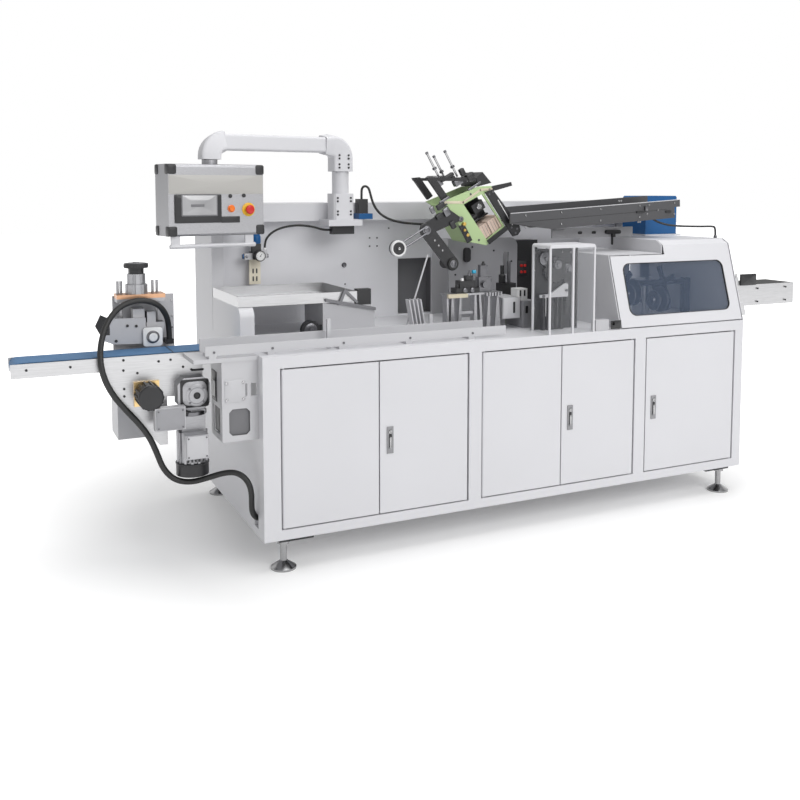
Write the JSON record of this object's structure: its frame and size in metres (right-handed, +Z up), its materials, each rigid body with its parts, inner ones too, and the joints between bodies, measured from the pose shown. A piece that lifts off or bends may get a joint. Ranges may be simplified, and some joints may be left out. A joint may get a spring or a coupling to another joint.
{
  "type": "tissue box packing machine",
  "caption": "Fixed packing machine on a long white cabinet with hinged doors, rear wall, infeed and outfeed belts, tilted carton magazine, glazed hood and operator panel on an arm.",
  "frame": {"origin": "on the floor, under the middle of the whole machine's outline in plan", "axes": "+X to the right along the front, +Y towards the rear, +Z up"},
  "size_m": [4.092, 1.1699, 1.827],
  "materials": {
    "white_paint": "satin powder coat",
    "grey_paint": "satin powder coat",
    "dark_paint": "satin black paint",
    "chute_paint": "satin dark grey paint",
    "green_paint": "satin pale green paint",
    "blue_paint": "satin blue paint",
    "stainless": "brushed",
    "polished_steel": "polished",
    "aluminium": "anodised",
    "black_plastic": "matt",
    "belt_blue": "matt woven face",
    "black_rubber": "matt",
    "clear_panel": "clear",
    "carton": "matt board"
  },
  "bodies": {
    "machine": {"base_floor": "white_paint", "base_ends": "white_paint", "back_panels": "white_paint", "base_front_posts": "white_paint", "table_top": "white_paint", "base_front_rails": "white_paint", "levelling_feet": "polished_steel", "rear_columns": "white_paint", "rear_wall": "grey_paint", "rear_top_cover": "white_paint", "left_guard": "white_paint", "stainless_tray": "stainless", "ramp_box": "grey_paint", "guide_rails": "aluminium", "fold_platform": "aluminium", "drive_boxes": "grey_paint", "mechanism_plate": "white_paint", "hood_cheeks": "white_paint", "hood_roof": "white_paint", "hood_rotor": "dark_paint", "guard_panes": "clear_panel", "guard_frame": "white_paint", "arm_column": "white_paint", "air_regulator": "aluminium", "conveyor_side_plates": "stainless", "conveyor_belt": "belt_blue", "conveyor_rollers": "stainless", "conveyor_leg_box": "grey_paint", "gear_motors": "aluminium", "outfeed_belt": "black_rubber", "outfeed_sides": "stainless", "chute_rails": "chute_paint", "chute_brackets": "white_paint", "glue_unit": "blue_paint", "magazine_frame": "green_paint", "magazine_cartons": "carton", "magazine_top_frame": "white_paint", "magazine_fittings": "dark_paint", "picker_bracket": "dark_paint", "marking_back_plate": "grey_paint", "marking_deck": "aluminium", "main_hose": "black_rubber", "column_hose": "black_rubber", "air_cable": "black_rubber"},
    "leaf_1": {"door_1": "white_paint"},
    "leaf_2": {"door_2": "white_paint"},
    "leaf_3": {"door_3": "white_paint"},
    "leaf_4": {"door_4": "white_paint"},
    "leaf_5": {"door_5": "white_paint"},
    "lid": {"hood_lid": "white_paint", "hood_window": "clear_panel"},
    "arm": {"arm_castings": "white_paint", "arm_tube": "white_paint"},
    "panel": {"panel_box": "aluminium", "panel_fittings": "aluminium", "panel_buttons": "black_plastic"},
    "picker": {"picker_arm": "dark_paint", "picker_roller": "black_rubber", "picker_rods": "polished_steel"},
    "wheel": {"hand_wheel": "dark_paint"}
  },
  "joints": [
    {"name": "door_1_hinge", "type": "hinge", "parent": "machine", "child": "leaf_1", "pos_m": [-1.04, -0.568, 0.498], "axis": [0, 0, -1], "range_deg": [0, 90]},
    {"name": "door_2_hinge", "type": "hinge", "parent": "machine", "child": "leaf_2", "pos_m": [-0.201, -0.568, 0.498], "axis": [0, 0, 1], "range_deg": [0, 90]},
    {"name": "door_3_hinge", "type": "hinge", "parent": "machine", "child": "leaf_3", "pos_m": [-0.106, -0.568, 0.498], "axis": [0, 0, -1], "range_deg": [0, 90]},
    {"name": "door_4_hinge", "type": "hinge", "parent": "machine", "child": "leaf_4", "pos_m": [0.716, -0.568, 0.498], "axis": [0, 0, 1], "range_deg": [0, 90]},
    {"name": "door_5_hinge", "type": "hinge", "parent": "machine", "child": "leaf_5", "pos_m": [1.354, -0.568, 0.498], "axis": [0, 0, 1], "range_deg": [0, 90]},
    {"name": "hood_lid_hinge", "type": "hinge", "parent": "machine", "child": "lid", "pos_m": [1.0315, -0.418, 1.298], "axis": [-1, 0, 0], "range_deg": [0, 85]},
    {"name": "arm_swivel", "type": "hinge", "parent": "machine", "child": "arm", "pos_m": [-0.502, 0.162, 1.649], "axis": [0, 0, 1], "range_deg": [0, 50]},
    {"name": "panel_swivel", "type": "hinge", "parent": "arm", "child": "panel", "pos_m": [-1.173, 0.06, 1.674], "axis": [0, 0, 1], "range_deg": [-60, 5]},
    {"name": "picker_pivot", "type": "hinge", "parent": "machine", "child": "picker", "pos_m": [-0.224, -0.233, 1.372], "axis": [0, -1, 0], "range_deg": [-20, 15]},
    {"name": "hand_wheel_spin", "type": "hinge", "parent": "machine", "child": "wheel", "pos_m": [-1.537, -0.123, 1.2], "axis": [0, 0, 1], "continuous": true}
  ]
}
